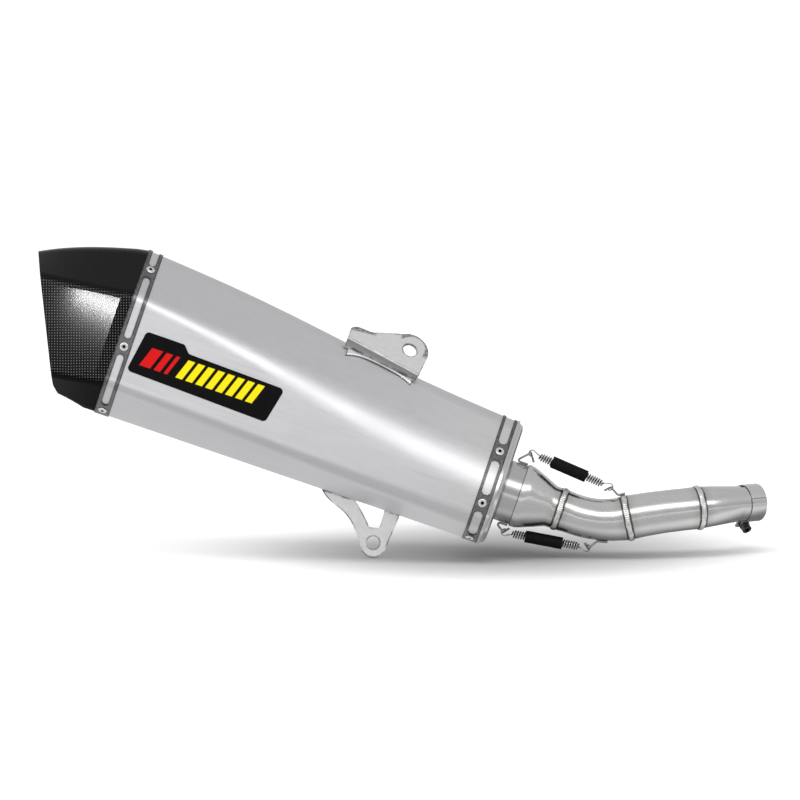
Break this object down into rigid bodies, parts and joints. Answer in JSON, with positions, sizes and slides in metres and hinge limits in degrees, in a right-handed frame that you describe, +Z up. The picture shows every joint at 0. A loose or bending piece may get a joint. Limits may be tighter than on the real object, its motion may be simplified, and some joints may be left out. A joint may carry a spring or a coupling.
{
  "type": "racing exhaust system",
  "caption": "Tapered hexagonal exhaust silencer with a carbon end cap, hanging brackets, and a welded link pipe held by tension springs and a band clamp.",
  "frame": {"origin": "centre of the header socket's mouth, where the engine's header pipe goes in", "axes": "+X forwards along the vehicle, towards the engine; +Y to the vehicle's left, away from the badge; +Z up, as fitted"},
  "size_m": [0.766, 0.1416, 0.3264],
  "materials": {
    "sleeve_metal": "satin titanium sheet with fine grain along the body",
    "band_metal": "darker brushed steel strip",
    "rivet_metal": "bright drawn",
    "carbon_fibre": "plain-weave carbon under clear lacquer",
    "end_plate_metal": "brushed, slightly heat darkened",
    "outlet_metal": "brushed, sooted inside",
    "fastener_metal": "zinc plated",
    "cover_metal": "pressed and polished",
    "pipe_metal": "brushed stainless tube",
    "inner_metal": "plain",
    "packing_wool": "long-strand packing",
    "badge_enamel": "black heat-proof label, blank apart from coloured stripes",
    "bracket_metal": "bead-blasted sheet",
    "wire_metal": "bright wire",
    "weld_metal": "rippled weld bead",
    "spring_steel": "bright spring wire",
    "rubber_black": "matt black rubber",
    "clamp_metal": "bright stainless strip"
  },
  "bodies": {
    "muffler": {"outer_sleeve": "sleeve_metal", "rear_trim_band": "band_metal", "front_trim_band": "band_metal", "rear_band_rivets": "rivet_metal", "front_band_rivets": "rivet_metal", "carbon_end_cap": "carbon_fibre", "rear_end_plate": "end_plate_metal", "outlet_tube": "outlet_metal", "noise_insert": "outlet_metal", "insert_screw": "fastener_metal", "front_cap": "cover_metal", "inlet_collar": "pipe_metal", "front_baffle": "inner_metal", "core_bush": "inner_metal", "perforated_core": "inner_metal", "absorption_wool": "packing_wool", "badge_plate": "badge_enamel", "upper_bracket": "bracket_metal", "upper_bracket_pad": "bracket_metal", "lower_bracket": "bracket_metal", "muffler_hook_upper": "wire_metal", "muffler_hook_lower": "wire_metal", "spring_upper": "spring_steel", "spring_lower": "spring_steel"},
    "link_pipe": {"pipe_hook_upper": "wire_metal", "pipe_hook_lower": "wire_metal", "link_spigot": "pipe_metal", "link_cone": "pipe_metal", "link_elbow": "pipe_metal", "link_mid_pipe": "pipe_metal", "link_taper_pipe": "pipe_metal", "header_socket": "pipe_metal", "weld_bead_cone": "weld_metal", "weld_bead_elbow": "weld_metal", "weld_bead_mid": "weld_metal"},
    "upper_rubber": {"spring_sleeve_upper": "rubber_black"},
    "lower_rubber": {"spring_sleeve_lower": "rubber_black"},
    "clamp": {"clamp_band": "clamp_metal", "clamp_bush": "clamp_metal", "clamp_washer": "fastener_metal"},
    "bolt": {"clamp_bolt": "fastener_metal"},
    "nut": {"clamp_nut": "fastener_metal"}
  },
  "joints": [
    {"name": "link_pipe_slide", "type": "slide", "parent": "muffler", "child": "link_pipe", "axis": [0.9461, 0, -0.3239], "range_m": [0, 0.012], "stiffness_N_per_m": 6000, "springref_m": -0.012, "deforming": ["spring_upper", "spring_lower"]},
    {"name": "upper_rubber_travel", "type": "slide", "parent": "muffler", "child": "upper_rubber", "axis": [0.9461, 0, -0.3239], "range_m": [0, 0.006]},
    {"name": "lower_rubber_travel", "type": "slide", "parent": "muffler", "child": "lower_rubber", "axis": [0.9461, 0, -0.3239], "range_m": [0, 0.006]},
    {"name": "clamp_swivel", "type": "hinge", "parent": "link_pipe", "child": "clamp", "pos_m": [0, 0, 0], "axis": [0.8375, 0.5439, 0.0523], "continuous": true},
    {"name": "clamp_bolt_turn", "type": "hinge", "parent": "clamp", "child": "bolt", "pos_m": [-0.01601, 0.01068, -0.0181], "axis": [0.4162, -0.5729, -0.7061], "range_deg": [0, 1440]},
    {"name": "clamp_nut_travel", "type": "slide", "parent": "clamp", "child": "nut", "axis": [-0.4162, 0.5729, 0.7061], "range_m": [0, 0.004]}
  ],
  "couplings": [
    {"joint": "upper_rubber_travel", "follows": "link_pipe_slide", "ratio": 0.5},
    {"joint": "lower_rubber_travel", "follows": "link_pipe_slide", "ratio": 0.5},
    {"joint": "clamp_bolt_turn", "follows": "clamp_nut_travel", "rad_per_m": 6283.2}
  ]
}
